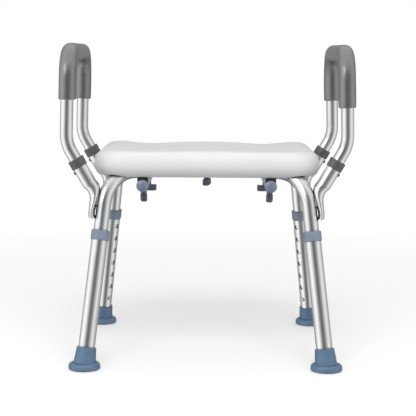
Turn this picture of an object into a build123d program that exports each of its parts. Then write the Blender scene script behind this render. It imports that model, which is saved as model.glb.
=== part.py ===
from build123d import *
import os
from math import atan2, cos, degrees, radians, sin, tan

# A shower stool standing on the floor at z = 0, with its origin under the middle of the seat.
# X runs across the seat from armrest to armrest, Y from front to back. All sizes are millimetres.

# ---- driving dimensions ---------------------------------------------------------------------

# Tubes: outer diameter and wall
LEG_OD, LEG_WALL = 28.6, 1.4
FRAME_OD, FRAME_WALL = 25.4, 1.5
BAR_OD, BAR_WALL = 20.0, 1.4
RECEIVER_OD = 25.6
ARM_OD, ARM_WALL = 22.6, 1.4
GRIP_OD = 31.4

# The leg axis in the quadrant where X and Y are positive: it meets the floor at FLOOR_POINT and
# rises to the middle of the collar at COLLAR_POINT.
FLOOR_POINT = Vector(210.1, 193.0, 0)
COLLAR_POINT = Vector(184.6, 153.1, 228.6)
FRAME_HEIGHT = 335.7          # centre line of the frame tubes below the seat
FRAME_BEND_RADIUS = 66.0

# Distances along the leg axis, from the floor
FOOT_TOP = 38.0
TUBE_BOTTOM = 7.0
BUTTON_STATION = 58.0
HOLE_PITCH, HOLE_COUNT = 25.4, 7
FRAME_TUBE_END = 42.0
LEG_TUBE_TOP = 236.0
COLLAR_BOTTOM, COLLAR_TOP = 224.6, 242.1
HOLE_AZIMUTH = 43.0           # direction the hole row faces, from the front-to-back axis

# Feet and collars
FOOT_OD, FOOT_FLANGE_HEIGHT = 54.8, 12.0
BOOT_BASE_OD, BOOT_TOP_OD = 39.0, 33.6
COLLAR_OD = 32.0
WASHER_THICKNESS = 1.6

# Seat
SEAT_WIDTH, SEAT_DEPTH = 400.0, 300.0
SEAT_BOTTOM, SEAT_TOP = 327.5, 375.0
SEAT_CORNER, SEAT_EDGE = 52.0, 23.5
SEAT_SKIN = 3.2
CHANNEL_SHARE = 0.44          # how far the channels run towards the frame's corners, from the middle
SEAT_CONTOUR = [(0, -1.6), (60, -3.2), (113, -5.6), (152, -1.9), (180, 1.0)]
DRAIN_HOLE = 7.0
DRAIN_PLACES = [(x, y) for x in (-150, -75, 75, 150) for y in (-45, 45)]

# Cross bars under the frame tubes
BAR_X, BAR_HALF = 112.2, 134.0
PLUG_OD, PLUG_DOME, PLUG_STEM = 21.6, 4.6, 16.0
SADDLE_WIDTH, SADDLE_INNER, SADDLE_OUTER = 19.0, 118.0, 131.0
SADDLE_RISE = 4.0             # height of a saddle's lower edge above the bar's centre line

# Quarter-turn latches
LATCH_LENGTH, LATCH_WIDTH, LATCH_HEIGHT = 31.0, 11.6, 11.6
LATCH_NECK_OD, LATCH_NECK = 10.8, 9.6
LATCH_CORNER, LATCH_EASE = 4.0, 2.6
LATCH_FLANGE = 1.8
SCOOP_RADIUS, SCOOP_DEPTH, SCOOP_SHARE = 9.0, 0.9, 0.27   # the finger hollows in a paddle's sides
SPINDLE_OD, SPINDLE_HEAD = 6.0, 10.0
SPINDLE_SUNK = 14.4           # depth of a spindle in its paddle
SOCKET_OD, SOCKET_TOP = 13.0, 360.0
CENTRE_LATCH_TURN = 10.0      # the middle and front paddles stand a little askew
FRONT_LATCH_TURN = 5.0

# Armrests: the ring's centre, the tilt of the receivers, and the arch
RING_POINT = Vector(224.5, 140.0, 353.0)
RECEIVER_TILT = 30.0
ARM_X, ARM_LEAN = 244.4, 0.025     # X of the uprights at the lower bend, inward lean per mm of height
ARM_TOP = 545.3
ARM_LOWER_BEND, ARM_UPPER_BEND = 62.0, 46.0
ARM_ENGAGEMENT = 34.0
GRIP_ENDS = {"left": (463.0, 455.0), "right": (452.0, 454.5)}   # heights of the front and rear ends
RING_OD, RING_LENGTH = 28.8, 16.5
RECEIVER_TOP = 5.0
ARM_BUTTON_STATION = 13.6
RECEIVER_STRAIGHT = 42.0      # the receiver is round down to this distance below its ring
PRESSED_OVALS = [             # the pressed end's height, thickness, width, tilt and lap over the leg
    (258.5, 13.4, 28.0, -6.0, 1.2),
    (290.0, 15.4, 27.5, 0.0, 1.2),
    (303.0, 20.8, 26.0, 17.0, 3.0),
]
PRESSED_WRAP = 1.0            # how far the pressed end reaches round the leg, past its outer side
WELD_OD, WELD_ANGLE = 3.4, 27.0                # bead size, and its place round the leg from the outer side
WELD_BOTTOM, WELD_TOP = 278.0, 296.0

# Snap buttons and their leaf springs
LEG_BUTTON_OD, LEG_BUTTON_PROUD = 8.0, 2.4
ARM_BUTTON_OD, ARM_BUTTON_PROUD = 6.4, 2.6
SPRING_THICKNESS, SPRING_WIDTH = 0.8, 7.0
SPRING_FLAT = (-8.0, 9.0)     # the straight length of each arm, past the button and before the bend
LEG_SPRING_RISE, ARM_SPRING_RISE = 42.0, 28.0

RUN = 0.05                    # radial clearance of a running fit
GAP = 0.3                     # clearance between bodies that only pass each other

# ---- places worked out from them --------------------------------------------------------------

UP_LEG = (COLLAR_POINT - FLOOR_POINT).normalized()
LEG_SIDES = {"fl": (-1, -1), "fr": (1, -1), "rl": (-1, 1), "rr": (1, 1)}
ARM_SIDES = {"left": -1, "right": 1}
FRAME_CORNER = FLOOR_POINT + UP_LEG * (FRAME_HEIGHT / UP_LEG.Z)
FRAME_AZIMUTH = degrees(atan2(FRAME_CORNER.Y, FRAME_CORNER.X))
BAR_HEIGHT = FRAME_HEIGHT - FRAME_OD / 2 - BAR_OD / 2 - RUN
LATCH_Y = BAR_X * tan(radians(FRAME_AZIMUTH))
UP_RECEIVER = Vector(sin(radians(RECEIVER_TILT)), 0, cos(radians(RECEIVER_TILT)))
BUTTON_OUT = Vector(cos(radians(RECEIVER_TILT)), 0, -sin(radians(RECEIVER_TILT)))
ARM_KNEE = RING_POINT.Z + (ARM_X - RING_POINT.X) / tan(radians(RECEIVER_TILT))


def to_quadrant(point, sx, sy):
    """The same point in another quadrant of the stool."""
    return Vector(point.X * sx, point.Y * sy, point.Z)


def leg_point(distance, sx=1, sy=1):
    """A point on a leg's axis, at a distance along it from the floor."""
    return to_quadrant(FLOOR_POINT + UP_LEG * distance, sx, sy)


def leg_plane(distance, sx=1, sy=1):
    """A plane across a leg's axis, whose X direction is the way the hole row faces."""
    up = to_quadrant(UP_LEG, sx, sy)
    facing = Vector(-sx * sin(radians(HOLE_AZIMUTH)), -sy * cos(radians(HOLE_AZIMUTH)), 0)
    facing = (facing - up * facing.dot(up)).normalized()
    return Plane(origin=leg_point(distance, sx, sy), x_dir=facing, z_dir=up)


def receiver_plane(distance, sx, sy):
    """A plane across a receiver's axis, a distance above the ring, X facing the button's way."""
    origin = to_quadrant(RING_POINT + UP_RECEIVER * distance, sx, sy)
    return Plane(origin=origin, x_dir=to_quadrant(BUTTON_OUT, sx, sy), z_dir=to_quadrant(UP_RECEIVER, sx, sy))


def rod(start, end, diameter):
    """A round rod from one point to another."""
    length = (end - start).length
    return extrude(Plane(origin=start, z_dir=end - start) * Circle(diameter / 2), length)


def bent_path(points, radii):
    """Straight runs between the points, joined by a tangent arc at each inner point."""
    edges = []
    start = points[0]
    for before, corner, after, radius in zip(points, points[1:], points[2:], radii):
        towards = (before - corner).normalized()
        onwards = (after - corner).normalized()
        half = radians(towards.get_angle(onwards)) / 2
        reach = radius / tan(half)
        inward = (towards + onwards).normalized()
        middle = corner + inward * (radius / sin(half) - radius)
        edges.append(Line(start, corner + towards * reach))
        edges.append(ThreePointArc(corner + towards * reach, middle, corner + onwards * reach))
        start = corner + onwards * reach
    edges.append(Line(start, points[-1]))
    return Wire(edges)


def domed_disc(radius, height, side):
    """An upright disc on the XY plane with a spherical top; side is its height at the rim."""
    rise = height - side
    ball = (radius**2 + rise**2) / (2 * rise)
    disc = Pos(Z=height / 2) * Cylinder(radius, height)
    return disc & Pos(Z=height - ball) * Sphere(ball)


def along(path, diameter):
    """A solid round bar of one diameter along a path."""
    section = Plane(origin=path @ 0, z_dir=path % 0) * Circle(diameter / 2)
    return sweep(section, path=path)


# ---- the frame --------------------------------------------------------------------------------

def frame_path(sx):
    """Centre line of one inverted U, from the front leg on side sx to the rear leg opposite."""
    points = [
        leg_point(FRAME_TUBE_END, sx, -1),
        to_quadrant(FRAME_CORNER, sx, -1),
        to_quadrant(FRAME_CORNER, -sx, 1),
        leg_point(FRAME_TUBE_END, -sx, 1),
    ]
    return bent_path(points, [FRAME_BEND_RADIUS] * 2)


def crossing_notch(sx, side):
    """The half of a frame tube's height that is pressed away where the other tube crosses it."""
    crossing = radians(180 - 2 * FRAME_AZIMUTH)
    half = FRAME_OD / 2 * (1 + abs(cos(crossing))) / sin(crossing) + GAP
    turn = Rot(Z=-sx * FRAME_AZIMUTH)
    web = FRAME_WALL * 1.6
    height = FRAME_HEIGHT + side * (FRAME_OD / 4 - RUN / 2)
    notch = Pos(Z=height) * turn * Box(2 * half, FRAME_OD + 1, FRAME_OD / 2 + RUN)
    pressed = Box(2 * (half + web), FRAME_OD, FRAME_OD / 2 + web)
    pressed = Pos(Z=height - side * web / 2) * turn * pressed
    round_bar = turn * Rot(Y=90) * Cylinder(FRAME_OD / 2, 2 * (half + web))
    return notch, (pressed & Pos(Z=FRAME_HEIGHT) * round_bar) - notch


def spindle_places():
    """Plan positions of the five latches: four over the cross bars and one in the middle."""
    places = {tag: (sx * BAR_X, sy * LATCH_Y) for tag, (sx, sy) in LEG_SIDES.items()}
    places["centre"] = (0, 0)
    return places


def spindle_bores(diameter):
    """Vertical holes for the latch spindles."""
    height = SEAT_TOP - BAR_HEIGHT
    bore = Cylinder(diameter / 2, 2 * height)
    return [Pos(x, y, BAR_HEIGHT) * bore for x, y in spindle_places().values()]


def frame_tube(sx, side):
    """One inverted-U frame tube; side says which half of its height is pressed away."""
    path = frame_path(sx)
    bar = along(path, FRAME_OD)
    bore = along(path, FRAME_OD - 2 * FRAME_WALL)
    notch, web = crossing_notch(sx, side)
    tube = (bar - bore - notch) + web
    for hole in spindle_bores(SPINDLE_OD + 0.6):
        tube -= hole
    for end_x, end_y in ((sx, -1), (-sx, 1)):
        facing = leg_plane(BUTTON_STATION, end_x, end_y)
        tube -= rod(facing.origin, facing.origin + facing.x_dir * LEG_OD, LEG_BUTTON_OD + 0.5)
    return tube


def cross_bar(sx):
    """A straight tube from front to back below the frame tubes."""
    lay = Pos(sx * BAR_X, 0, BAR_HEIGHT) * Rot(X=90)
    bar = lay * (Cylinder(BAR_OD / 2, 2 * BAR_HALF) - Cylinder(BAR_OD / 2 - BAR_WALL, 2 * BAR_HALF))
    for hole in spindle_bores(SPINDLE_OD + 0.6):
        bar -= hole
    return bar


def bar_end_plug(sx, sy):
    """A domed plug pushed into the end of a cross bar."""
    stem = Pos(Z=-PLUG_STEM / 2) * Cylinder(BAR_OD / 2 - BAR_WALL - RUN, PLUG_STEM)
    plug = stem + domed_disc(PLUG_OD / 2, PLUG_DOME, 1.0)
    return Pos(sx * BAR_X, sy * BAR_HALF, BAR_HEIGHT) * Rot(X=-90 * sy) * plug


def bar_saddle(sx, sy):
    """A pad between a cross bar's end and the seat, hollowed to sit on the bar."""
    length = SADDLE_OUTER - SADDLE_INNER
    bottom, top = BAR_HEIGHT + SADDLE_RISE, SEAT_BOTTOM
    pad = Pos(sx * BAR_X, sy * (SADDLE_INNER + length / 2), (bottom + top) / 2)
    pad = pad * Box(SADDLE_WIDTH, length, top - bottom)
    pad = fillet(pad.edges().filter_by(Axis.Z), 2)
    bar = Pos(sx * BAR_X, 0, BAR_HEIGHT) * Rot(X=90) * Cylinder(BAR_OD / 2, 3 * BAR_HALF)
    return pad - bar


# ---- the seat ---------------------------------------------------------------------------------

def seat_blank(inset):
    """The seat's outer form, or the same form drawn in by an inset."""
    height = SEAT_TOP - SEAT_BOTTOM - 2 * inset
    plan = RectangleRounded(SEAT_WIDTH - 2 * inset, SEAT_DEPTH - 2 * inset, SEAT_CORNER - inset)
    slab = extrude(plan, height)
    rims = slab.edges().group_by(Axis.Z)
    slab = fillet(list(rims[0]) + list(rims[-1]), SEAT_EDGE - inset)
    return Pos(Z=SEAT_BOTTOM + inset) * slab - seat_hollow(inset)


def seat_hollow(inset):
    """The space above the seat's contour: two shallow dips with a raised middle."""
    right = [(x, SEAT_TOP + z - inset) for x, z in SEAT_CONTOUR]
    left = [(-x, z) for x, z in reversed(right[1:])]
    contour = left + right
    lid = SEAT_TOP + 40
    face = make_face([
        Spline(contour, tangents=[(1, 0), (1, 0)]),
        Line(contour[-1], (contour[-1][0], lid)),
        Line((contour[-1][0], lid), (contour[0][0], lid)),
        Line((contour[0][0], lid), contour[0]),
    ])
    return extrude(Plane.XZ * face, SEAT_DEPTH, both=True)


def channel(sx, extra):
    """The space that one frame tube takes below the seat, grown by extra all round."""
    width = FRAME_OD + 2 * (GAP + extra)
    half = FRAME_CORNER.length * CHANNEL_SHARE
    below = SEAT_BOTTOM - FRAME_OD
    slot = Pos(Z=(FRAME_HEIGHT + below) / 2) * Rot(Z=-sx * FRAME_AZIMUTH)
    slot = slot * Box(2 * half, width, FRAME_HEIGHT - below)
    return [along(frame_path(sx), width), slot]


def seat():
    """A hollow moulded seat with channels for the frame, latch sockets and drain holes."""
    shell = seat_blank(0)
    inside = seat_blank(SEAT_SKIN)
    for sx in (-1, 1):
        for wide, narrow in zip(channel(sx, SEAT_SKIN), channel(sx, 0)):
            inside -= wide
            shell -= narrow
    for x, y in spindle_places().values():
        socket_height = SOCKET_TOP - SEAT_BOTTOM
        centre = Pos(x, y, SEAT_BOTTOM + socket_height / 2)
        inside -= centre * Cylinder(SOCKET_OD / 2 + SEAT_SKIN, socket_height + 2 * SEAT_SKIN)
        shell -= centre * Cylinder(SOCKET_OD / 2, socket_height)
    for x, y in DRAIN_PLACES:
        middle = Pos(x, y, (SEAT_BOTTOM + SEAT_TOP) / 2)
        inside -= middle * Cylinder(DRAIN_HOLE / 2 + SEAT_SKIN, SEAT_TOP)
        shell -= middle * Cylinder(DRAIN_HOLE / 2, SEAT_TOP)
    return shell - inside


# ---- latches ----------------------------------------------------------------------------------

def latch_top(tag):
    """Height of the underside that a latch's neck turns against."""
    under = FRAME_HEIGHT - FRAME_OD / 2 if tag == "centre" else BAR_HEIGHT - BAR_OD / 2
    return under - GAP


def latch_turn(tag):
    """Angle of a paddle about the vertical: 0 lies across the stool, 90 from front to back."""
    askew = {"fl": FRONT_LATCH_TURN, "fr": -FRONT_LATCH_TURN, "centre": -CENTRE_LATCH_TURN}
    return 0 if tag in ("rl", "rr") else 90 + askew[tag]


def latch(tag):
    """A moulded thumb paddle with a neck, bored for its spindle."""
    top = latch_top(tag)
    plan = RectangleRounded(LATCH_LENGTH, LATCH_WIDTH, LATCH_CORNER)
    paddle = Pos(Z=-LATCH_NECK - LATCH_HEIGHT) * extrude(plan, LATCH_HEIGHT)
    paddle = fillet(paddle.edges().group_by(Axis.Z)[0], LATCH_EASE)
    beside = LATCH_WIDTH / 2 + SCOOP_RADIUS - SCOOP_DEPTH
    for end in (-1, 1):
        for side in (-1, 1):
            scoop = Pos(end * LATCH_LENGTH * SCOOP_SHARE, side * beside, -LATCH_NECK - LATCH_HEIGHT / 2)
            paddle -= scoop * Cylinder(SCOOP_RADIUS, LATCH_HEIGHT + 2)
    neck = Pos(Z=-LATCH_NECK / 2) * Cylinder(LATCH_NECK_OD / 2, LATCH_NECK)
    flange = Pos(Z=-LATCH_FLANGE / 2) * Cylinder(LATCH_WIDTH / 2, LATCH_FLANGE)
    body = paddle + neck + flange
    body -= Pos(Z=-SPINDLE_SUNK / 2) * Cylinder(SPINDLE_OD / 2, SPINDLE_SUNK)
    x, y = spindle_places()[tag]
    return Pos(x, y, top) * Rot(Z=latch_turn(tag)) * body


def latch_spindle(tag):
    """The steel pin moulded into a paddle, with a cross bar at its top that locks the seat."""
    bottom = latch_top(tag) - SPINDLE_SUNK + RUN
    top = SOCKET_TOP - 3
    x, y = spindle_places()[tag]
    pin = Pos(Z=(bottom + top) / 2) * Cylinder(SPINDLE_OD / 2, top - bottom)
    head = Pos(Z=top - 2) * Rot(Y=90) * Cylinder(1.6, SPINDLE_HEAD)
    return Pos(x, y, 0) * Rot(Z=latch_turn(tag)) * (pin + head)


# ---- lower legs -------------------------------------------------------------------------------

def leg_rod(start, end, diameter, sx, sy):
    """A round rod along a leg's axis, between two distances from the floor."""
    return rod(leg_point(start, sx, sy), leg_point(end, sx, sy), diameter)


def lower_leg(sx, sy):
    """The outer tube that slides on the frame tube, with its row of height holes."""
    tube = leg_rod(TUBE_BOTTOM, LEG_TUBE_TOP, LEG_OD, sx, sy)
    tube -= leg_rod(TUBE_BOTTOM - 5, LEG_TUBE_TOP + 5, LEG_OD - 2 * LEG_WALL, sx, sy)
    for step in range(HOLE_COUNT):
        facing = leg_plane(BUTTON_STATION + step * HOLE_PITCH, sx, sy)
        tube -= rod(facing.origin, facing.origin + facing.x_dir * LEG_OD, LEG_BUTTON_OD + 0.9)
    return tube


def leg_collar(sx, sy):
    """A sleeve over the leg tube's top end that guides the frame tube."""
    collar = leg_rod(COLLAR_BOTTOM, COLLAR_TOP, COLLAR_OD, sx, sy)
    collar = fillet(collar.edges().filter_by(GeomType.CIRCLE), 1.4)
    collar -= leg_rod(COLLAR_BOTTOM - 5, LEG_TUBE_TOP, LEG_OD, sx, sy)
    return collar - leg_rod(COLLAR_BOTTOM, COLLAR_TOP + 5, FRAME_OD + 2 * RUN, sx, sy)


def foot(sx, sy):
    """A rubber foot: a flat round flange and a tapered boot that leans with the leg."""
    flange = Cylinder(FOOT_OD / 2, FOOT_FLANGE_HEIGHT)
    rims = flange.edges().filter_by(GeomType.CIRCLE).sort_by(Axis.Z)
    flange = fillet(rims[-1], 6.0)
    rims = flange.edges().filter_by(GeomType.CIRCLE).sort_by(Axis.Z)
    flange = fillet(rims[0], 3.5)
    centre = leg_point(FOOT_FLANGE_HEIGHT / 2 / UP_LEG.Z, sx, sy)
    flange = Pos(centre.X, centre.Y, FOOT_FLANGE_HEIGHT / 2) * flange
    base = TUBE_BOTTOM + 2
    low = leg_plane(base, sx, sy) * Circle(BOOT_BASE_OD / 2)
    high = leg_plane(FOOT_TOP, sx, sy) * Circle(BOOT_TOP_OD / 2)
    body = flange + loft([low, high])
    body -= leg_rod(TUBE_BOTTOM - WASHER_THICKNESS, FOOT_TOP + 5, LEG_OD, sx, sy)
    for radius in (14.0, 20.0):
        groove = Cylinder(radius + 1.2, 1.2) - Cylinder(radius - 1.2, 1.2)
        body -= Pos(centre.X, centre.Y, 0.6) * groove
    return body


def foot_washer(sx, sy):
    """A steel disc in the foot, under the end of the leg tube."""
    return leg_rod(TUBE_BOTTOM - WASHER_THICKNESS, TUBE_BOTTOM, LEG_OD - 0.4, sx, sy)


# ---- snap buttons -----------------------------------------------------------------------------

def snap_button(plane, diameter, inner, outer):
    """A round pin with a domed end, along the plane's X direction between two radii."""
    height = outer - inner
    pin = domed_disc(diameter / 2, height, height - diameter * 0.25)
    return Plane(origin=plane.origin + plane.x_dir * inner, z_dir=plane.x_dir) * pin


def leaf_spring(plane, reach, rise):
    """A V-shaped strip in a tube's bore: one arm carries the button, the other bears behind it."""
    arm = reach - SPRING_THICKNESS / 2
    low, high = SPRING_FLAT
    line = Polyline((arm, low), (arm, high), (0, rise), (-arm, high), (-arm, low))
    strip = extrude(trace(line, SPRING_THICKNESS), SPRING_WIDTH / 2, both=True)
    side = Plane(origin=plane.origin, x_dir=plane.x_dir, z_dir=plane.z_dir.cross(plane.x_dir) * -1)
    return side * strip


def leg_button(sx, sy):
    """The button that locks a lower leg at its height."""
    inner = FRAME_OD / 2 - FRAME_WALL - 2
    return snap_button(leg_plane(BUTTON_STATION, sx, sy), LEG_BUTTON_OD, inner, LEG_OD / 2 + LEG_BUTTON_PROUD)


def leg_spring(sx, sy):
    """The leaf spring behind a leg's button."""
    reach = FRAME_OD / 2 - FRAME_WALL - 2
    return leaf_spring(leg_plane(BUTTON_STATION, sx, sy), reach, LEG_SPRING_RISE)


def arm_button(sx, sy):
    """The button that locks an armrest tube in its receiver."""
    plane = receiver_plane(-ARM_BUTTON_STATION, sx, sy)
    return snap_button(plane, ARM_BUTTON_OD, ARM_OD / 2 - ARM_WALL - 2, RECEIVER_OD / 2 + ARM_BUTTON_PROUD)


def arm_spring(sx, sy):
    """The leaf spring behind an armrest's button."""
    return leaf_spring(receiver_plane(-ARM_BUTTON_STATION, sx, sy), ARM_OD / 2 - ARM_WALL - 2, ARM_SPRING_RISE)


# ---- armrests ---------------------------------------------------------------------------------

def receiver_rod(start, end, diameter, sx, sy):
    """A round rod along a receiver's axis, between two distances above the ring's centre."""
    start_plane, end_plane = receiver_plane(start, sx, sy), receiver_plane(end, sx, sy)
    return rod(start_plane.origin, end_plane.origin, diameter)


def pressed_section(height, thickness, width, tilt, inward):
    """An oval section of the receiver's lower end beside the leg; inward draws it over the leg."""
    leg = leg_point(height / UP_LEG.Z)
    beside = leg.X + FRAME_OD / 2 + thickness / 2 - PRESSED_WRAP - inward
    across = Vector(cos(radians(tilt)), 0, -sin(radians(tilt)))
    lean = Vector(sin(radians(tilt)), 0, cos(radians(tilt)))
    plane = Plane(origin=Vector(beside, leg.Y, height), x_dir=across, z_dir=lean)
    return plane * Ellipse(thickness / 2, width / 2)


def receiver(sx, sy):
    """A slanted tube whose lower end is pressed to an oval that lies along the outside of the leg."""
    sections = [pressed_section(*oval) for oval in PRESSED_OVALS]
    sections.append(receiver_plane(-RECEIVER_STRAIGHT, 1, 1) * Circle(RECEIVER_OD / 2))
    body = loft(sections) + receiver_rod(-RECEIVER_STRAIGHT, RECEIVER_TOP, RECEIVER_OD, 1, 1)
    body -= receiver_rod(-ARM_ENGAGEMENT - 2, RECEIVER_TOP + 5, ARM_OD + 4 * RUN, 1, 1)
    facing = receiver_plane(-ARM_BUTTON_STATION, 1, 1)
    body -= rod(facing.origin, facing.origin + facing.x_dir * RECEIVER_OD, ARM_BUTTON_OD + 0.6)
    body -= along(frame_path(-1), FRAME_OD + RUN)
    return to_corner(body, sx, sy)


def to_corner(body, sx, sy):
    """A solid made for the corner where X and Y are positive, moved to another corner."""
    if sx < 0:
        body = mirror(body, Plane.YZ)
    if sy < 0:
        body = mirror(body, Plane.XZ)
    return body


def weld_bead(side):
    """One weld along the side of the pressed end, front or rear, at the corner of positive X and Y."""
    outward = Vector(UP_LEG.Z, 0, -UP_LEG.X).normalized()
    away = outward.rotate(Axis((0, 0, 0), UP_LEG), side * WELD_ANGLE)
    middle = away * (FRAME_OD / 2 + WELD_OD * 0.2)
    start = leg_point(WELD_BOTTOM / UP_LEG.Z) + middle
    end = leg_point(WELD_TOP / UP_LEG.Z) + middle
    bead = rod(start, end, WELD_OD)
    bead = fillet(bead.edges().filter_by(GeomType.CIRCLE), WELD_OD * 0.4)
    return bead - along(frame_path(-1), FRAME_OD)


def receiver_welds():
    """The welds that hold the four receivers to the legs, two on each."""
    against = receiver(1, 1)
    beads = [(weld_bead(side) - against).solids().sort_by(SortBy.VOLUME)[-1] for side in (-1, 1)]
    beads = [to_corner(bead, sx, sy) for sx, sy in LEG_SIDES.values() for bead in beads]
    return Compound(children=beads)


def receiver_ring(sx, sy):
    """A plastic ring capped over the receiver's open end."""
    half = RING_LENGTH / 2
    ring = receiver_rod(-half, half, RING_OD, sx, sy)
    ring = fillet(ring.edges().filter_by(GeomType.CIRCLE), 1.0)
    ring -= receiver_rod(-half - 5, RECEIVER_TOP, RECEIVER_OD, sx, sy)
    return ring - receiver_rod(RECEIVER_TOP - 1, half + 5, ARM_OD + 4 * RUN, sx, sy)


def arm_corner(height):
    """A point on the rear upright of the right armrest."""
    return Vector(ARM_X - (height - ARM_KNEE) * ARM_LEAN, RING_POINT.Y, height)


def arm_points(sx, low):
    """The corners of an armrest's arch from a low point on its front upright to its rear one."""
    rear = low + [arm_corner(ARM_TOP)]
    front = [Vector(p.X, -p.Y, p.Z) for p in rear]
    return [to_quadrant(p, sx, 1) for p in front + rear[::-1]]


def arm_tube(sx):
    """An arch whose two ends slant inwards to slide into the receivers."""
    low = [RING_POINT - UP_RECEIVER * ARM_ENGAGEMENT, arm_corner(ARM_KNEE)]
    radii = [ARM_LOWER_BEND, ARM_UPPER_BEND, ARM_UPPER_BEND, ARM_LOWER_BEND]
    path = bent_path(arm_points(sx, low), radii)
    tube = along(path, ARM_OD) - along(path, ARM_OD - 2 * ARM_WALL)
    for sy in (-1, 1):
        facing = receiver_plane(-ARM_BUTTON_STATION, sx, sy)
        tube -= rod(facing.origin, facing.origin + facing.x_dir * RECEIVER_OD, ARM_BUTTON_OD + 0.4)
    return tube


def grip(side):
    """A foam sleeve over the top of an armrest's arch; its two ends stand at their own heights."""
    sx = ARM_SIDES[side]
    front, rear = (arm_corner(height) for height in GRIP_ENDS[side])
    points = [to_quadrant(front, sx, -1)] + arm_points(sx, []) + [to_quadrant(rear, sx, 1)]
    path = bent_path(points, [ARM_UPPER_BEND] * 2)
    foam = along(path, GRIP_OD)
    foam = fillet(foam.faces().sort_by(Axis.Z)[:2].edges(), 2.5)
    return foam - along(path, ARM_OD)


# ---- write one file for each piece --------------------------------------------------------------

def build():
    """Every piece of the stool, by name."""
    pieces = {
        "seat": seat(),
        "frame_tube_a": frame_tube(-1, 1),
        "frame_tube_b": frame_tube(1, -1),
        "bar_end_plugs": Compound(children=[bar_end_plug(*s) for s in LEG_SIDES.values()]),
        "bar_saddles": Compound(children=[bar_saddle(*s) for s in LEG_SIDES.values()]),
        "leg_button_springs": Compound(children=[leg_spring(*s) for s in LEG_SIDES.values()]),
        "receiver_welds": receiver_welds(),
    }
    for tag in spindle_places():
        pieces["latch_" + tag] = latch(tag)
        pieces["latch_spindle_" + tag] = latch_spindle(tag)
    for tag, (sx, sy) in LEG_SIDES.items():
        pieces["lower_leg_" + tag] = lower_leg(sx, sy)
        pieces["leg_collar_" + tag] = leg_collar(sx, sy)
        pieces["foot_" + tag] = foot(sx, sy)
        pieces["foot_washer_" + tag] = foot_washer(sx, sy)
        pieces["leg_button_" + tag] = leg_button(sx, sy)
        pieces["receiver_" + tag] = receiver(sx, sy)
        pieces["receiver_ring_" + tag] = receiver_ring(sx, sy)
        pieces["arm_button_" + tag] = arm_button(sx, sy)
    for side, sx in ARM_SIDES.items():
        pieces["cross_bar_" + side] = cross_bar(sx)
        pieces["arm_tube_" + side] = arm_tube(sx)
        pieces["grip_" + side] = grip(side)
        pieces["arm_button_springs_" + side] = Compound(children=[arm_spring(sx, sy) for sy in (-1, 1)])
    return pieces


os.makedirs("parts", exist_ok=True)
for name, piece in build().items():
    export_step(piece, "parts/" + name + ".step")
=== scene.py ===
"""The looks of a shower stool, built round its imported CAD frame. Metres, X across, Y back, Z up."""
import math

import bmesh
import bpy
from mathutils import Euler, Matrix, Vector, noise


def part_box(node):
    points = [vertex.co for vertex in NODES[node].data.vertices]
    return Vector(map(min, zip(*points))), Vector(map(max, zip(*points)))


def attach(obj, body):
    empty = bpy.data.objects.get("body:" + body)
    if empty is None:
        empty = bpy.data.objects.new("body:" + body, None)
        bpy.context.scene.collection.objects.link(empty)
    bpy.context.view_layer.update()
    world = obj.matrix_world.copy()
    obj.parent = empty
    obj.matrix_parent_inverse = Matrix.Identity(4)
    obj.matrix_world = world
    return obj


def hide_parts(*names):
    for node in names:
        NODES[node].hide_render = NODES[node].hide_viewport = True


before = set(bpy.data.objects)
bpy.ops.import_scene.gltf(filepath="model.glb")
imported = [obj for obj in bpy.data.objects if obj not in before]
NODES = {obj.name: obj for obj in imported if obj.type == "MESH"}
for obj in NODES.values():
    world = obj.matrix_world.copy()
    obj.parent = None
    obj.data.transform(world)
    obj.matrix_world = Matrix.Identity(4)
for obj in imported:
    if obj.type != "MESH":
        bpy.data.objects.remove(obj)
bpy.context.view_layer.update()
LEGS = {"fl": (-1, -1), "fr": (1, -1), "rl": (-1, 1), "rr": (1, 1)}    # sides in X and Y
ARMS = {"left": -1, "right": 1}

# ---- driving dimensions ---------------------------------------------------------------------

CAMERA_PLACE = (0.0026, -2.350, 0.5439)
CAMERA_PITCH, CAMERA_ROLL = -6.92, 0.416      # degrees
CAMERA_LENS, SENSOR = 110.34, 36.0            # mm
CAMERA_REACH = 60.0

# The room that the metal reflects: brightness of its walls, by bearing from the front in degrees
ROOM_WALLS = [(-180, 0.30), (-140, 0.34), (-108, 0.72), (-78, 1.32), (-52, 1.08),
              (-26, 0.46), (-9, 0.17), (9, 0.17), (28, 0.36), (52, 0.86),
              (76, 1.02), (102, 0.62), (140, 0.33), (180, 0.30)]
ROOM_RADIUS = 4.0
CEILING_START, CEILING_FULL, CEILING_LIGHT = 0.45, 0.85, 0.95    # sines of heights, brightness
ROOM_LAMP_AZIMUTH, ROOM_LAMP_HEIGHT = -40.0, 33.0                # degrees
ROOM_LAMP_WIDTH, ROOM_LAMP_CORE, ROOM_LAMP_LIGHT = 15.0, 0.6, 3.6

# The lamps that light the object: name, place, aim, width and height, brightness
SOFTBOXES = [("above_front", (0, -2.2, 2.5), (0, 0, 0.3), (2.4, 1.6), 3.9),
             ("overhead", (0, -0.3, 3.2), (0, 0, 0.3), (2.4, 2.0), 0.55),
             ("low_front", (0, -2.6, 0.35), (0, 0, 0.33), (2.0, 0.6), 2.1),
             ("side_left", (-2.4, -0.6, 0.9), (0, 0, 0.3), (1.4, 1.8), 0.45),
             ("side_right", (2.4, -0.6, 0.9), (0, 0, 0.3), (1.4, 1.8), 0.30),
             ("above_back", (0, 2.0, 2.6), (0, 0, 0.3), (2.4, 1.6), 0.35)]
WORLD_LIGHT = 0.46

FLOOR_REACH, FLOOR_SIDES = 9.0, 96
FLOOR_COLOUR = (0.93, 0.93, 0.93, 1)
FLOOR_LIFT = 0.20                             # light it gives off, which keeps it pale
FLOOR_FADE = (0.45, 1.6)                      # where it starts to turn white, and is white
BACKDROP_RADIUS = 14.0

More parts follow.
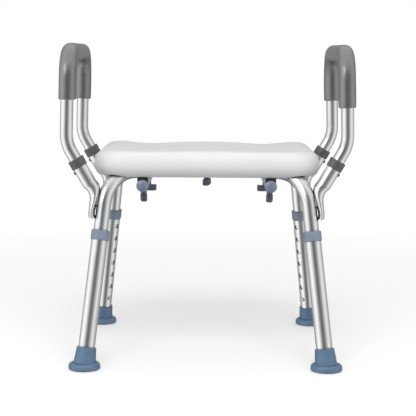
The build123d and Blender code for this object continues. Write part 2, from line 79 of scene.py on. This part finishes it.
ARM_RADIUS, BORE_GAP = 0.0113, 0.00015        # the arm tube, and the foam's play round it
GRIP_WALL = 0.0044                            # foam thickness round the arm tube
BORE_RADIUS, GRIP_RADIUS = ARM_RADIUS + BORE_GAP, ARM_RADIUS + GRIP_WALL
GRIP_BEND = 0.046                             # centre-line radius of the arch's corners
GRIP_LIP = 0.0026                             # rounding of the foam's cut ends
GRIP_AROUND, LIP_STEPS, GRIP_STEP = 48, 6, 0.004
LIP_GAP = 0.002                               # least distance from a lip to the next ring
ARM_LEAN = 0.025                              # an armrest's lean inwards, per height
GRIP_WAVES, GRIP_UNEVEN = 22.0, 0.00035       # the foam's slow swells, and their height
END_WAVES, END_UNEVEN = 90.0, 0.0011          # the same for its cut ends
END_SLICE = 0.0012                            # height of the slice that finds its end's middle

SEAT_VOXEL, SEAT_EASE = 0.0016, 40            # grid and smoothing steps of the seat's skin
CONTOUR_STEP, CONTOUR_STRIP = 0.004, 0.012    # the seat's top is measured in a strip across it
FRONT_EASE = 0.075                            # how far back the front edge's easing reaches
DIP_FADE, DIP_FILLED = 0.7, 0.75              # the share of it, and of the dips, that is eased
DIP_EDGE = (0.030, 0.006)                     # below the top: where the filling starts, is full
DIP_SIDES = (0.72, 0.90)                      # where it dies out, as shares of half the width
ROUND_STEPS, ROUND_FADE = 120, 0.5            # smoothing of the upper front edge
ROUND_EDGE = (0.034, 0.012)                   # below the top: where it starts, is full

PAINTED_SHADE_REACH = 0.007                          # width of the recesses that get painted shade
NOISE_MARGIN = 0.3                            # noise mostly lies between this and 1 less this


# ---- node helpers -----------------------------------------------------------------------------

class Shader:
    """A material and short ways to add and join its nodes."""

    def __init__(self, name, roughness=0.5, metallic=0.0):
        self.material = bpy.data.materials.new(name)
        self.material.use_nodes = True
        self.tree = self.material.node_tree
        self.surface = self.tree.nodes["Principled BSDF"]
        self.set(Roughness=roughness, Metallic=metallic)
        self.place = self.add("ShaderNodeTexCoord").outputs["Object"]

    def add(self, kind, **settings):
        node = self.tree.nodes.new(kind)
        for key, value in settings.items():
            setattr(node, key, value)
        return node

    def join(self, source, target):
        self.tree.links.new(source, target)

    def set(self, **values):
        for key, value in values.items():
            self.surface.inputs[key.replace("_", " ")].default_value = value

    def stretched(self, scale, axis=None):
        """Object coordinates scaled on each axis, after turning the given axis upright."""
        source = self.place
        if axis is not None:
            turn = Vector(axis).rotation_difference(Vector((0, 0, 1))).to_euler()
            spin = self.add("ShaderNodeMapping")
            spin.inputs["Rotation"].default_value = turn
            self.join(source, spin.inputs["Vector"])
            source = spin.outputs["Vector"]
        mapping = self.add("ShaderNodeMapping")
        mapping.inputs["Scale"].default_value = scale
        self.join(source, mapping.inputs["Vector"])
        return mapping.outputs["Vector"]

    def noise(self, scale, detail=3.0, rough=0.55, vector=None):
        node = self.add("ShaderNodeTexNoise")
        node.inputs["Scale"].default_value = scale
        node.inputs["Detail"].default_value = detail
        node.inputs["Roughness"].default_value = rough
        self.join(vector or self.place, node.inputs["Vector"])
        return node.outputs["Fac"]

    def cells(self, scale):
        node = self.add("ShaderNodeTexVoronoi")
        node.inputs["Scale"].default_value = scale
        self.join(self.place, node.inputs["Vector"])
        return node.outputs["Distance"]

    def spread(self, source, low, high, out_low, out_high):
        """Maps a value's range on to another, clamped."""
        node = self.add("ShaderNodeMapRange")
        ends = {"From Min": low, "From Max": high, "To Min": out_low, "To Max": out_high}
        for name, value in ends.items():
            node.inputs[name].default_value = value
        self.join(source, node.inputs["Value"])
        return node.outputs["Result"]

    def between(self, source, low, high, margin=NOISE_MARGIN):
        """A noise's usual range mapped on to another."""
        return self.spread(source, margin, 1 - margin, low, high)

    def ramp(self, source, *stops):
        """A colour that changes with a value; each stop is a position and a colour."""
        node = self.add("ShaderNodeValToRGB")
        while len(node.color_ramp.elements) < len(stops):
            node.color_ramp.elements.new(0.5)
        for element, (position, colour) in zip(node.color_ramp.elements, stops):
            element.position = position
            element.color = (*colour, 1)
        self.join(source, node.inputs["Fac"])
        return node.outputs["Color"]

    def shades(self, source, low, high, margin=NOISE_MARGIN):
        """Two colours, mixed by a noise."""
        return self.ramp(source, (margin, low), (1 - margin, high))

    def maths(self, operation, a, b):
        node = self.add("ShaderNodeMath", operation=operation)
        for socket, value in zip(node.inputs, (a, b)):
            if isinstance(value, (int, float)):
                socket.default_value = value
            else:
                self.join(value, socket)
        return node.outputs["Value"]

    def mixed(self, factor, a, b, blend="MIX"):
        """Mixes two colours by a factor; each is a colour or a socket."""
        node = self.add("ShaderNodeMix", data_type="RGBA", blend_type=blend)
        sockets = (node.inputs[0], node.inputs[6], node.inputs[7])
        for socket, value in zip(sockets, (factor, a, b)):
            if isinstance(value, (int, float)):
                socket.default_value = value
            elif isinstance(value, tuple):
                socket.default_value = (*value, 1)
            else:
                self.join(value, socket)
        return node.outputs[2]

    def colour(self, source):
        self.join(source, self.surface.inputs["Base Color"])

    def rough(self, source):
        self.join(source, self.surface.inputs["Roughness"])

    def bump(self, *layers):
        """Stacks bumps; each layer is a height source and its depth in metres."""
        normal = None
        for height, depth in layers:
            node = self.add("ShaderNodeBump")
            node.inputs["Strength"].default_value = 1.0
            node.inputs["Distance"].default_value = depth
            self.join(height, node.inputs["Height"])
            if normal is not None:
                self.join(normal, node.inputs["Normal"])
            normal = node.outputs["Normal"]
        self.join(normal, self.surface.inputs["Normal"])

    def output(self, shader):
        """Sends a shader to the material's surface."""
        self.join(shader, self.tree.nodes["Material Output"].inputs["Surface"])


def srgb(red, green, blue):
    """Linear colour from display values of 0 to 255."""
    return tuple(((v / 255 + 0.055) / 1.055) ** 2.4 if v > 10 else v / 255 / 12.92
                 for v in (red, green, blue))


def darker(colour, share):
    """A colour times a share."""
    return tuple(c * share for c in colour)


def paint(node, material):
    """Gives a piece one material."""
    node.data.materials.clear()
    node.data.materials.append(material)


# ---- materials --------------------------------------------------------------------------------

def painted_recess_shade(s, source):
    """Painted shade: darkens a colour by ambient occlusion in narrow recesses, such as the height
    holes, and where parts meet.
    """
    hollow = s.add("ShaderNodeAmbientOcclusion", samples=8)
    hollow.inputs["Distance"].default_value = PAINTED_SHADE_REACH
    shade = s.ramp(hollow.outputs["AO"], (0.40, (0.10, 0.10, 0.10)), (0.90, (1, 1, 1)))
    return s.mixed(1.0, source, shade, "MULTIPLY")


def aluminium(name, axis, roughness=0.21, with_painted_shade=False):
    """Satin anodised tube, with faint draw lines along the axis given, and painted shade in its
    recesses if asked.
    """
    s = Shader(name, metallic=1.0)
    tint = (0.80, 0.805, 0.815)
    lines = s.noise(1.0, 4, 0.6, s.stretched((900, 900, 9), axis))
    cloud = s.noise(28, rough=0.5)
    shade = s.shades(cloud, darker(tint, 0.965), tint)
    # if asked, painted shade darkens the colour in recesses and where parts meet
    s.colour(painted_recess_shade(s, shade) if with_painted_shade else shade)
    s.rough(s.maths("ADD", s.between(lines, roughness - 0.03, roughness + 0.05),
                    s.between(cloud, -0.02, 0.03)))
    s.bump((lines, 0.000005), (s.noise(2600, 2, 0.5), 0.000004))
    return s.material


def moulded_seat():
    """White blow-moulded plastic with a fine spark-eroded grain."""
    s = Shader("seat_plastic")
    cloud = s.noise(11, 4, 0.6)
    s.colour(s.shades(cloud, (0.795, 0.795, 0.79), (0.835, 0.835, 0.83), margin=0.25))
    s.rough(s.between(s.noise(240, rough=0.6), 0.42, 0.56))
    s.set(Subsurface_Weight=0.06, Subsurface_Scale=0.004, IOR=1.5,
          Subsurface_Radius=(1.0, 0.95, 0.9))
    s.bump((s.noise(9, rough=0.5), 0.0006), (s.cells(900), 0.00006),
           (s.noise(1500, rough=0.6), 0.00004))
    return s.material


def foam():
    """Charcoal closed-cell foam with a fine skin."""
    s = Shader("grip_foam")
    cloud = s.noise(60, 4, 0.65)
    pores = s.cells(2400)
    base = s.shades(cloud, srgb(54, 55, 56), srgb(64, 65, 66))
    s.colour(s.mixed(s.spread(pores, 0.0, 0.22, 0.35, 0.0), base, srgb(44, 44, 45)))
    s.rough(s.between(s.noise(700, rough=0.6), 0.30, 0.42))
    s.set(IOR=2.2, Coat_Weight=1.0, Coat_Roughness=0.26, Coat_IOR=1.9)
    s.bump((s.noise(120, rough=0.5), 0.0002), (pores, 0.00007))
    return s.material


def moulded_plastic(name, low, high, roughness, grain=0.00003):
    """Moulded plastic in two close shades."""
    s = Shader(name)
    s.colour(s.shades(s.noise(70, 4, 0.6), low, high))
    s.rough(s.between(s.noise(500, rough=0.6), roughness - 0.06, roughness + 0.06))
    s.set(IOR=1.7)
    s.bump((s.cells(1600), grain), (s.noise(2200, 2, 0.5), grain))
    return s.material


def rubber_foot():
    """Blue-grey rubber, a little dusty low down."""
    s = Shader("foot_rubber")
    cloud = s.noise(55, 5, 0.65)
    base = s.shades(cloud, srgb(82, 112, 142), srgb(92, 123, 154), margin=0.28)
    height = s.add("ShaderNodeSeparateXYZ")
    s.join(s.place, height.inputs["Vector"])
    low = s.spread(height.outputs["Z"], 0.001, 0.010, 0.4, 0.0)
    dust = s.maths("MULTIPLY", low, s.between(s.noise(160, 4, 0.7), 0.2, 1.0, margin=0.35))
    s.colour(s.mixed(dust, base, srgb(128, 141, 154)))
    s.rough(s.between(s.noise(400, rough=0.6), 0.34, 0.50))
    s.set(IOR=1.65)
    s.bump((s.cells(1300), 0.00004), (s.noise(900, rough=0.6), 0.00004))
    return s.material


def steel(name, roughness, tint):
    """Plated or brushed steel for washers, pins and springs."""
    s = Shader(name, metallic=1.0)
    s.colour(s.shades(s.noise(300, 4, 0.6), darker(tint, 0.9), tint))
    s.rough(s.between(s.noise(1200, rough=0.6), roughness - 0.06, roughness + 0.08))
    s.bump((s.noise(1800, 2, 0.5), 0.00001))
    return s.material


def weld_metal():
    """Aluminium weld bead, with ripples along it."""
    s = Shader("weld_bead", metallic=1.0)
    ripples = s.noise(1.0, 1, 0.4, s.stretched((250, 250, 700)))
    s.colour(s.shades(s.noise(90, rough=0.6), (0.60, 0.60, 0.61), (0.74, 0.74, 0.75)))
    s.rough(s.between(ripples, 0.30, 0.46))
    s.bump((ripples, 0.0003))
    return s.material


def leg_axis(sx, sy):
    """The direction of a leg's axis, from its foot's middle to its collar's."""
    low = sum(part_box("foot_washer_rr"), Vector()) / 2
    high = sum(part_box("leg_collar_rr"), Vector()) / 2
    way = (high - low).normalized()
    return Vector((way.x * sx, way.y * sy, way.z))


def paint_frame():
    """Materials for every CAD node that shows."""
    black = moulded_plastic("black_plastic", srgb(30, 29, 28), srgb(40, 39, 38), 0.35)
    plated = steel("fastener_steel", 0.28, (0.62, 0.62, 0.61))
    spring = steel("spring_steel", 0.34, (0.45, 0.45, 0.46))
    # The first of these that starts a node's name gives its material
    shared = {
        # the frame tubes and lower legs get painted shade in their recesses
        "frame_tube": aluminium("tube_frame", (0, 0, 1), with_painted_shade=True),
        "arm_tube": aluminium("tube_upright", (0, 0, 1)),
        "leg_collar": moulded_plastic("collar_plastic", srgb(124, 138, 158),
                                      srgb(136, 150, 170), 0.30),
        "foot_washer": plated,
        "foot": rubber_foot(),
        "bar_end_plugs": moulded_plastic("plug_plastic", srgb(108, 123, 144),
                                         srgb(120, 135, 156), 0.20, 0.00001),
        "bar_saddles": black,
        "latch_spindle": plated,
        "latch": moulded_plastic("latch_plastic", srgb(74, 83, 95), srgb(86, 95, 107), 0.32),
        "receiver_ring": moulded_plastic("ring_plastic", srgb(72, 72, 73),
                                         srgb(84, 84, 85), 0.42, 0.00005),
        "receiver_welds": weld_metal(),
        "leg_button_springs": spring,
        "arm_button_springs": spring,
        "leg_button": steel("button_steel", 0.22, (0.70, 0.69, 0.66)),
        "arm_button": black,
    }
    for name, node in NODES.items():
        tag = name.rsplit("_", 1)[-1]
        material = next((shared[start] for start in shared if name.startswith(start)), None)
        if name.startswith("cross_bar"):
            material = aluminium("tube_" + name, (0, 1, 0))
        elif name.startswith("lower_leg"):
            # painted shade darkens the leg's recesses, such as its height holes
            material = aluminium("tube_" + name, leg_axis(*LEGS[tag]), with_painted_shade=True)
        elif name.startswith("receiver") and material is None:
            slant = (0.5 * LEGS[tag][0], 0, 0.87)
            material = aluminium("tube_" + name, slant, roughness=0.27)
        if material is not None:
            paint(node, material)


# ---- pieces built here ------------------------------------------------------------------------

def link(piece):
    """Puts an object into the scene."""
    bpy.context.scene.collection.objects.link(piece)
    return piece


def smooth_shaded(mesh):
    """Shades a mesh smooth."""
    for polygon in mesh.polygons:
        polygon.use_smooth = True


def new_piece(name, vertices, faces, material):
    """A smooth-shaded mesh object with one material."""
    mesh = bpy.data.meshes.new(name)
    mesh.from_pydata(vertices, [], faces)
    mesh.update()
    smooth_shaded(mesh)
    piece = link(bpy.data.objects.new(name, mesh))
    paint(piece, material)
    return piece


def apply_modifiers(piece):
    """Replaces a piece's mesh with what its modifiers make of it."""
    graph = bpy.context.evaluated_depsgraph_get()
    shaped = bpy.data.meshes.new_from_object(piece.evaluated_get(graph))
    piece.modifiers.clear()
    piece.data = shaped
    smooth_shaded(shaped)


def smooth_step(value, low, high):
    """0 below low, 1 above high, and an even curve between them."""
    share = min(1.0, max(0.0, (value - low) / (high - low)))
    return share * share * (3 - 2 * share)


def arch_path(corners, radius, step):
    """Points and directions along straight runs joined by round corners."""
    places = []

    def run(start, end):
        count = max(1, round((end - start).length / step))
        for i in range(count):
            places.append((start.lerp(end, i / count), (end - start).normalized()))

    start = corners[0]
    for before, corner, after in zip(corners, corners[1:], corners[2:]):
        back = (before - corner).normalized()
        on = (after - corner).normalized()
        half = back.angle(on) / 2
        reach = radius / math.tan(half)
        first = corner + back * reach
        run(start, first)
        middle = corner + (back + on).normalized() * (radius / math.sin(half))
        arm = first - middle
        axis = (-back).cross(on).normalized()
        sweep = math.pi - 2 * half
        count = max(4, round(radius * sweep / step))
        for i in range(count):
            turn = Matrix.Rotation(sweep * i / count, 3, axis)
            places.append((middle + turn @ arm, turn @ -back))
        start = corner + on * reach
    run(start, corners[-1])
    places.append((corners[-1], (corners[-1] - corners[-2]).normalized()))
    return places


def end_centre(node, sy):
    """The middle of a sleeve's lower end, on its front or rear upright, from its CAD mesh."""
    side = [v.co for v in NODES[node].data.vertices if v.co.y * sy > 0]
    bottom = min(v.z for v in side)
    rim = [v for v in side if v.z < bottom + END_SLICE]
    x, y = ((min(v[k] for v in rim) + max(v[k] for v in rim)) / 2 for k in (0, 1))
    return Vector((x, y, bottom))


def sleeve_ends(length):
    """Distances along a sleeve, each with the radius there, for its two rolled ends."""
    lip = [(0.0, BORE_RADIUS)]
    for k in reversed(range(LIP_STEPS + 1)):
        angle = math.radians(90 * k / LIP_STEPS)
        lip.append((GRIP_LIP * (1 - math.sin(angle)),
                    GRIP_RADIUS - GRIP_LIP * (1 - math.cos(angle))))
    return lip, [(length - along, radius) for along, radius in lip[::-1]]


def spokes(way):
    """Unit vectors round a direction, starting from the one nearest to X."""
    level = Vector((1, 0, 0))
    level = (level - way * level.dot(way)).normalized()
    other = way.cross(level)
    turns = (2 * math.pi * k / GRIP_AROUND for k in range(GRIP_AROUND))
    return [level * math.cos(turn) + other * math.sin(turn) for turn in turns]


def tube_faces(rings, inward=False):
    """Faces between each ring of vertices and the next; a ring is given by its first vertex."""
    faces = []
    for here, there in zip(rings, rings[1:]):
        for k in range(GRIP_AROUND):
            right = (k + 1) % GRIP_AROUND
            face = (here + k, here + right, there + right, there + k)
            faces.append((face[0], *face[:0:-1]) if inward else face)
    return faces


def uneven(point, way, out, radius, at_end):
    """A point on the foam's surface, moved by its slow swells and the wander of its cut ends."""
    spot = point + out * radius
    if radius > BORE_RADIUS:
        spot += out * (noise.noise(spot * GRIP_WAVES) * GRIP_UNEVEN - GRIP_UNEVEN)
    if at_end:
        spot += way * noise.noise(spot * END_WAVES) * END_UNEVEN
    return spot


def foam_grip(side, material):
    """A foam sleeve over an armrest's arch, slightly uneven, with rolled ends."""
    node = "grip_" + side
    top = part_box(node)[1].z - GRIP_RADIUS
    front, back = (end_centre(node, sy) for sy in (-1, 1))
    corners = [Vector((end.x - ARMS[side] * ARM_LEAN * (top - end.z), end.y, top))
               for end in (front, back)]
    places = arch_path([front, *corners, back], GRIP_BEND, GRIP_STEP)
    lengths = [0.0]
    for (a, _), (b, _) in zip(places, places[1:]):
        lengths.append(lengths[-1] + (b - a).length)

    def at(distance):
        for (a, way), (b, _), low, high in zip(places, places[1:], lengths, lengths[1:]):
            if distance <= high:
                return a.lerp(b, (distance - low) / (high - low)), way
        return places[-1]

    first, last = sleeve_ends(lengths[-1])
    between = [(d, None) for d in lengths if first[-1][0] + LIP_GAP < d < last[0][0] - LIP_GAP]
    stations = first + between + last
    vertices = []
    for distance, radius in stations:
        point, way = at(distance)
        for out in spokes(way):
            vertices.append(uneven(point, way, out, radius or GRIP_RADIUS, radius is not None))
    skin = list(range(0, len(vertices), GRIP_AROUND))
    bore_start = len(vertices)
    for distance in lengths[1:-1]:
        point, way = at(distance)
        vertices += [point + out * BORE_RADIUS for out in spokes(way)]
    bore = [skin[0], *range(bore_start, len(vertices), GRIP_AROUND), skin[-1]]
    piece = new_piece("foam_grip_" + side, vertices,
                      tube_faces(skin) + tube_faces(bore, inward=True), material)
    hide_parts(node)
    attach(piece, "arm_" + side)


def outer_skin(mesh):
    """A copy of a hollow mesh without its inner walls."""
    form = bmesh.new()
    form.from_mesh(mesh)
    bmesh.ops.remove_doubles(form, verts=form.verts, dist=1e-6)
    inner = set(form.verts)
    todo = [max(form.verts, key=lambda v: v.co.x)]
    inner.discard(todo[0])
    while todo:
        for edge in todo.pop().link_edges:
            for vertex in edge.verts:
                if vertex in inner:
                    inner.discard(vertex)
                    todo.append(vertex)
    bmesh.ops.delete(form, geom=list(inner), context="VERTS")
    skin = bpy.data.meshes.new("seat_skin")
    form.to_mesh(skin)
    form.free()
    return skin


def fill_front_dips(mesh):
    """Lets the seat's dips die out towards its front edge, which is straight."""
    low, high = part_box("seat")
    columns = {}
    for vertex in mesh.vertices:
        if abs(vertex.co.y) < CONTOUR_STRIP:
            key = round(vertex.co.x / CONTOUR_STEP)
            columns[key] = max(columns.get(key, 0), vertex.co.z)
    level = max(columns.values())
    for vertex in mesh.vertices:
        near = smooth_step(low.y + FRONT_EASE - vertex.co.y, 0, FRONT_EASE * DIP_FADE)
        rise = smooth_step(vertex.co.z, high.z - DIP_EDGE[0], high.z - DIP_EDGE[1])
        place = vertex.co.x / CONTOUR_STEP
        left = math.floor(place)
        ends = [columns.get(k) for k in (left, left + 1)]
        if near * rise == 0 or None in ends:
            continue
        height = ends[0] + (ends[1] - ends[0]) * (place - left)
        inside = 1 - smooth_step(abs(vertex.co.x), *(high.x * share for share in DIP_SIDES))
        vertex.co.z += max(0.0, level - height) * near * rise * inside * DIP_FILLED


def round_front_edge(piece):
    """Smooths the seat's upper front edge further, so that it has no line along it."""
    low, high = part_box("seat")
    group = piece.vertex_groups.new(name="front_edge")
    for vertex in piece.data.vertices:
        near = smooth_step(low.y + FRONT_EASE - vertex.co.y, 0, FRONT_EASE * ROUND_FADE)
        rise = smooth_step(vertex.co.z, high.z - ROUND_EDGE[0], high.z - ROUND_EDGE[1])
        if near * rise > 0:
            group.add([vertex.index], near * rise, "REPLACE")
    ease = piece.modifiers.new("front_edge", "SMOOTH")
    ease.factor, ease.iterations, ease.vertex_group = 0.5, ROUND_STEPS, group.name
    apply_modifiers(piece)


def seat_shell(material):
    """The seat: the CAD seat's outer skin, with edges and contour eased as moulding leaves them."""
    piece = link(bpy.data.objects.new("moulded_seat", outer_skin(NODES["seat"].data)))
    remesh = piece.modifiers.new("remesh", "REMESH")
    remesh.mode, remesh.voxel_size = "VOXEL", SEAT_VOXEL
    ease = piece.modifiers.new("ease", "SMOOTH")
    ease.factor, ease.iterations = 0.5, SEAT_EASE
    apply_modifiers(piece)
    fill_front_dips(piece.data)
    round_front_edge(piece)
    paint(piece, material)
    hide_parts("seat")
    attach(piece, "frame")


# ---- camera, light and floor ------------------------------------------------------------------

def camera():
    """The camera, in front at about the arms' height and tipped down a little."""
    data = bpy.data.cameras.new("camera")
    data.lens = CAMERA_LENS
    data.sensor_width = SENSOR
    data.clip_end = CAMERA_REACH
    eye = link(bpy.data.objects.new("camera", data))
    tip = Euler((math.radians(90 + CAMERA_PITCH), 0, 0)).to_matrix()
    roll = Matrix.Rotation(math.radians(CAMERA_ROLL), 3, "Z")
    eye.matrix_world = Matrix.Translation(CAMERA_PLACE) @ (tip @ roll).to_4x4()
    bpy.context.scene.camera = eye


def stage_dome(name, radius, material, to_camera=False, to_gloss=False):
    """A dome round the scene that only the camera or only reflections see."""
    bpy.ops.mesh.primitive_uv_sphere_add(segments=48, ring_count=24, radius=radius)
    dome = bpy.context.object
    dome.name = name
    dome.visible_camera = to_camera
    dome.visible_glossy = to_gloss
    dome.visible_diffuse = False
    dome.visible_transmission = False
    dome.visible_volume_scatter = False
    dome.visible_shadow = False
    paint(dome, material)


def reflected_room():
    """What the metal reflects: bright sides and ceiling, a darker front and back, one lamp."""
    s = Shader("room_light")
    parts = s.add("ShaderNodeSeparateXYZ")
    s.join(s.place, parts.inputs["Vector"])
    bearing = s.maths("ARCTAN2", parts.outputs["X"],
                      s.maths("MULTIPLY", parts.outputs["Y"], -1.0))
    turn = s.spread(bearing, -math.pi, math.pi, 0.0, 1.0)
    walls = s.ramp(turn, *[(0.5 + degrees / 360, (light,) * 3) for degrees, light in ROOM_WALLS])
    upward = s.spread(parts.outputs["Z"], ROOM_RADIUS * CEILING_START,
                      ROOM_RADIUS * CEILING_FULL, 0.0, 1.0)
    room = s.mixed(upward, walls, (CEILING_LIGHT,) * 3)
    azimuth, height = math.radians(ROOM_LAMP_AZIMUTH), math.radians(ROOM_LAMP_HEIGHT)
    aim = Vector((math.cos(height) * math.sin(azimuth), -math.cos(height) * math.cos(azimuth),
                  math.sin(height)))
    facing = s.add("ShaderNodeVectorMath", operation="DOT_PRODUCT")
    facing.inputs[1].default_value = aim / ROOM_RADIUS
    s.join(s.place, facing.inputs[0])
    rim, core = (math.cos(math.radians(ROOM_LAMP_WIDTH * share)) for share in (1, ROOM_LAMP_CORE))
    lamp = s.spread(facing.outputs["Value"], rim, core, 0, 1)
    emission = s.add("ShaderNodeEmission")
    s.join(s.mixed(lamp, room, (ROOM_LAMP_LIGHT,) * 3), emission.inputs["Color"])
    s.output(emission.outputs["Emission"])
    stage_dome("reflected_room", ROOM_RADIUS, s.material, to_gloss=True)


def backdrop():
    """A plain white dome that only the camera sees."""
    s = Shader("backdrop_white")
    s.output(s.add("ShaderNodeEmission").outputs["Emission"])
    stage_dome("backdrop", BACKDROP_RADIUS, s.material, to_camera=True)


def softbox(name, place, aim, size, radiance):
    """A rectangular area light of a given brightness, turned to face a point."""
    data = bpy.data.lights.new(name, "AREA")
    data.shape = "RECTANGLE"
    data.size, data.size_y = size
    data.energy = radiance * math.pi * size[0] * size[1]
    lamp = link(bpy.data.objects.new(name, data))
    lamp.location = place
    lamp.rotation_euler = (Vector(aim) - Vector(place)).to_track_quat("-Z", "Y").to_euler()
    lamp.visible_camera = False
    lamp.visible_glossy = False


def floor():
    """A pale floor that fades to the backdrop's white away from the object."""
    turns = (2 * math.pi * i / FLOOR_SIDES for i in range(FLOOR_SIDES))
    edge = [(FLOOR_REACH * math.cos(turn), FLOOR_REACH * math.sin(turn), 0) for turn in turns]
    s = Shader("floor_paint", roughness=0.7)
    s.set(Base_Color=FLOOR_COLOUR, Emission_Color=(1, 1, 1, 1), Emission_Strength=FLOOR_LIFT)
    distance = s.add("ShaderNodeVectorMath", operation="LENGTH")
    s.join(s.place, distance.inputs[0])
    fade = s.spread(distance.outputs["Value"], *FLOOR_FADE, 0.0, 1.0)
    white = s.add("ShaderNodeEmission")
    blend = s.add("ShaderNodeMixShader")
    s.join(fade, blend.inputs["Fac"])
    s.join(s.surface.outputs["BSDF"], blend.inputs[1])
    s.join(white.outputs["Emission"], blend.inputs[2])
    s.output(blend.outputs["Shader"])
    ground = new_piece("floor", edge, [tuple(range(FLOOR_SIDES))], s.material)
    ground.visible_glossy = False
    ground.visible_diffuse = False


def studio():
    """Soft light from above and in front, with a little from each side."""
    world = bpy.data.worlds.new("studio")
    bpy.context.scene.world = world
    world.use_nodes = True
    sky = world.node_tree.nodes["Background"]
    sky.inputs["Color"].default_value = (1, 1, 1, 1)
    sky.inputs["Strength"].default_value = WORLD_LIGHT
    reflected_room()
    for lamp in SOFTBOXES:
        softbox(*lamp)


bpy.context.scene.view_settings.view_transform = "Standard"
camera()
studio()
floor()
backdrop()
paint_frame()
seat_shell(moulded_seat())
grip_foam = foam()
for arm in ARMS:
    foam_grip(arm, grip_foam)
